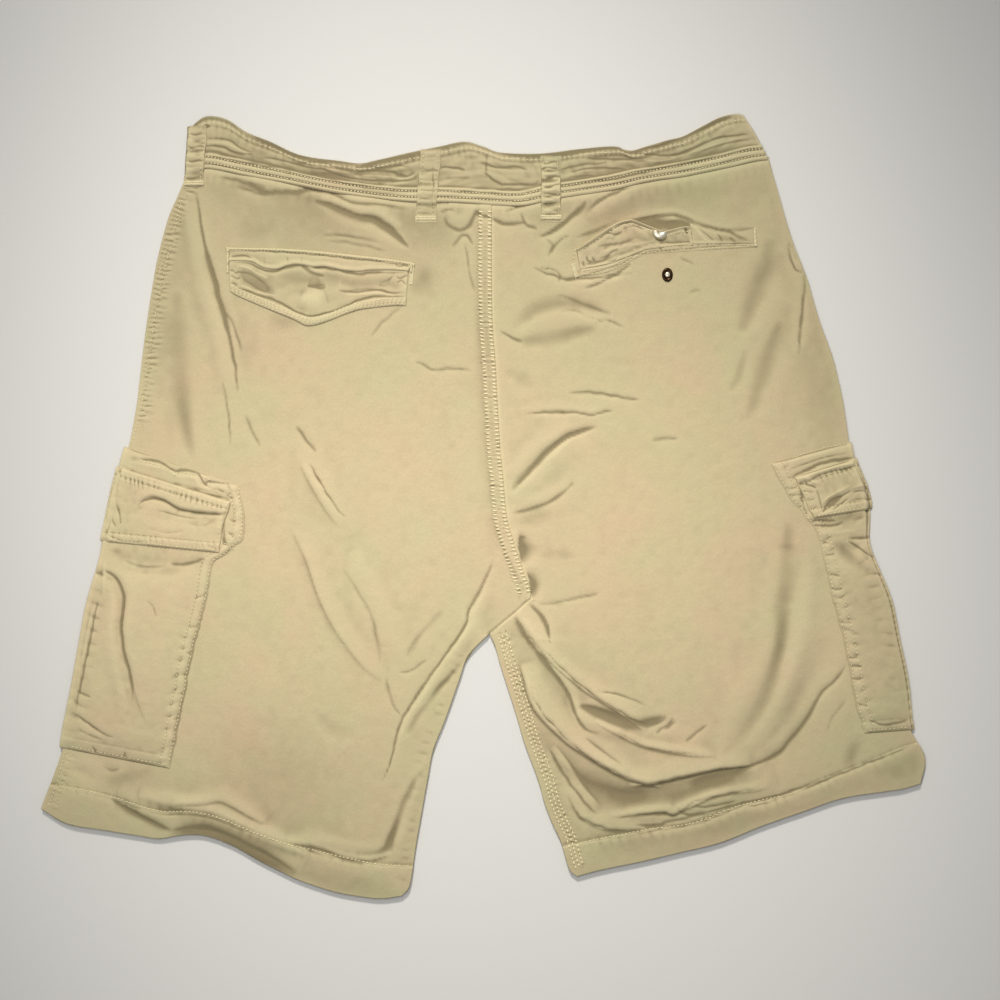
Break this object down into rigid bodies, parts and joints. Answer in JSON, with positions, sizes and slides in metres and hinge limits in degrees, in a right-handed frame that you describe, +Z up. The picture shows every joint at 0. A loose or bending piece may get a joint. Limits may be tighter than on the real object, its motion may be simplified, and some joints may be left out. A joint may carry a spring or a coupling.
{
  "type": "cargo shorts",
  "caption": "Men's cotton twill cargo shorts laid flat with the back side up: waistband, belt loops, welt pockets, cargo pockets with flaps, turned hems.",
  "frame": {"origin": "middle of the shorts' box, on the surface they lie on", "axes": "+Z up from the surface to the back side, +Y towards the waistband, +X to the wearer's right leg"},
  "size_m": [0.7496, 0.6652, 0.0123],
  "materials": {
    "twill": "washed khaki stretch cotton twill",
    "nickel_snap": "worn nickel plate",
    "bronze_snap": "dark aged bronze",
    "horn_button": "dark horn-like resin"
  },
  "bodies": {
    "root": {"back_left": "twill", "back_right": "twill", "belt_loop_left": "twill", "belt_loop_right": "twill", "belt_loop_side": "twill", "cargo_flap_left": "twill", "cargo_flap_right": "twill", "cargo_pocket_left": "twill", "cargo_pocket_right": "twill", "facing_right": "twill", "flap_left": "twill", "flap_right": "twill", "fly_facing": "twill", "front_left": "twill", "front_right": "twill", "snap_socket": "nickel_snap", "snap_stud": "bronze_snap", "waist_button": "horn_button", "waistband_back": "twill", "waistband_front": "twill", "welt_left": "twill", "welt_right": "twill"}
  },
  "joints": []
}
